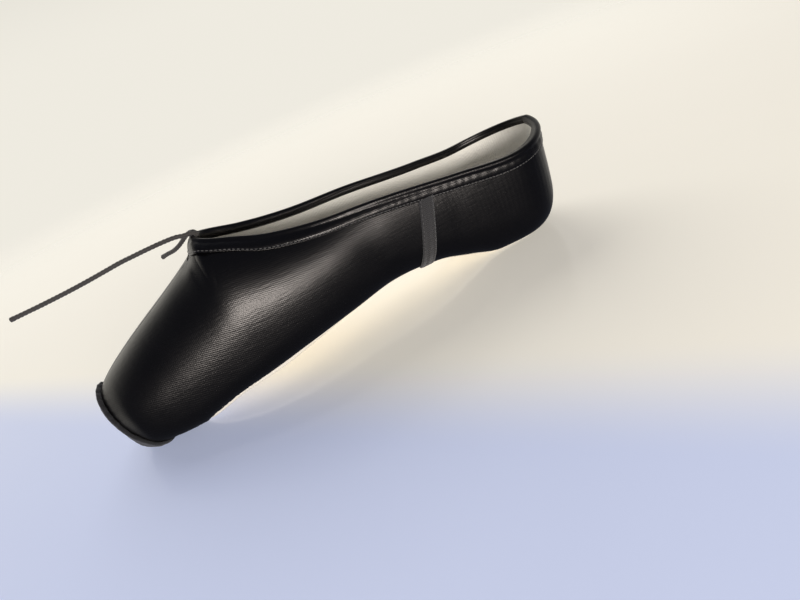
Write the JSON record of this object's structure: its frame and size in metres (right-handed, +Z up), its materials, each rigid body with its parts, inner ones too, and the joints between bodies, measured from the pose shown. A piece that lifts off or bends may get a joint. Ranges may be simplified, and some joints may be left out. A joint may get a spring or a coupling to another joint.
{
  "type": "pointe shoe",
  "caption": "Satin pointe shoe with a hard toe box, suede tip, thin leather sole, bound collar and cotton drawstring; stands empty on its sole.",
  "frame": {"origin": "middle of the shoe's box, on the floor plane under the sole", "axes": "+X from the toe to the heel, +Z up from the floor, +Y to the right of someone who looks from heel to toe"},
  "size_m": [0.2518, 0.068, 0.0774],
  "materials": {
    "satin": "satin",
    "binding_satin": "satin",
    "side_tape": "matte woven",
    "tip_suede": "napped",
    "sole_leather": "matte",
    "sock_cotton": "matte",
    "cord_cotton": "matte"
  },
  "bodies": {
    "root": {"upper": "satin", "outsole": "sole_leather", "insole": "sock_cotton", "binding": "binding_satin", "side_tape_near": "side_tape", "side_tape_far": "side_tape", "toe_tip": "tip_suede", "drawstring_long": "cord_cotton", "drawstring_short": "cord_cotton"}
  },
  "joints": []
}
